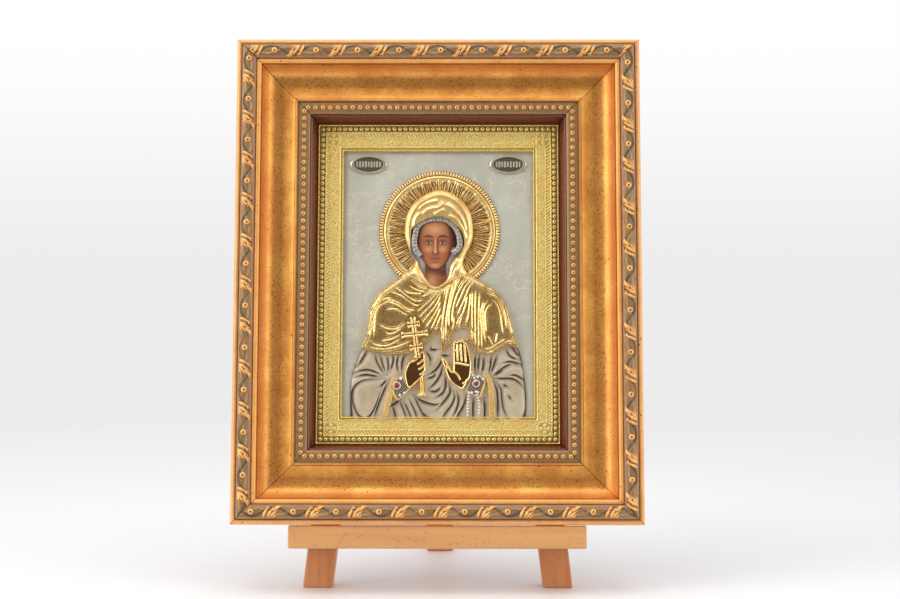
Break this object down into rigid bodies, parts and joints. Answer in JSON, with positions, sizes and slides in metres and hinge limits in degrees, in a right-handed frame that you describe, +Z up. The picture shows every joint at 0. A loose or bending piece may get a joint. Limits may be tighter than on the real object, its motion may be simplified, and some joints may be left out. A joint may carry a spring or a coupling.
{
  "type": "framed icon panel",
  "caption": "Small relief icon with a plated metal cover in a wide gilded moulding frame, standing on a folding wooden table easel.",
  "frame": {"origin": "middle of the footprint, on the surface that the easel stands on", "axes": "+Z up, +X to the viewer's right along the frame's width, +Y back from the viewer towards the rear leg"},
  "size_m": [0.25, 0.1696, 0.3387],
  "materials": {
    "gilded_moulding": "bronze-gold gilding over red bole, satin, with fine dark specks",
    "mahogany_slip": "dark red-brown gloss lacquer",
    "gold_plate": "polished gold plating with stippled and chased grounds",
    "oxidised_silver": "satin silver plating, darkened in the hollows",
    "painted_board": "painted and varnished",
    "hardboard": "raw brown hardboard",
    "red_stone": "polished red glass stone",
    "beech": "clear varnished beech with fine flecks",
    "hinge_brass": "plain brass"
  },
  "bodies": {
    "stand": {"rail_top": "gilded_moulding", "rail_bottom": "gilded_moulding", "rail_left": "gilded_moulding", "rail_right": "gilded_moulding", "slip_top": "mahogany_slip", "slip_bottom": "mahogany_slip", "slip_left": "mahogany_slip", "slip_right": "mahogany_slip", "metal_cover": "gold_plate", "name_plaque_left": "oxidised_silver", "name_plaque_right": "oxidised_silver", "icon_board": "painted_board", "backing_board": "hardboard", "cuff_stone_left": "red_stone", "cuff_stone_right": "red_stone", "front_leg_left": "beech", "front_leg_right": "beech", "ledge": "beech", "top_rail": "beech", "hinge_leaf_fixed": "hinge_brass", "hinge_pin": "hinge_brass"},
    "rear_leg": {"rear_leg": "beech", "hinge_leaf_moving": "hinge_brass"}
  },
  "joints": [
    {"name": "rear_leg_fold", "type": "hinge", "parent": "stand", "child": "rear_leg", "pos_m": [0, -0.00727, 0.26082], "axis": [1, 0, 0], "range_deg": [-27, 0]}
  ]
}
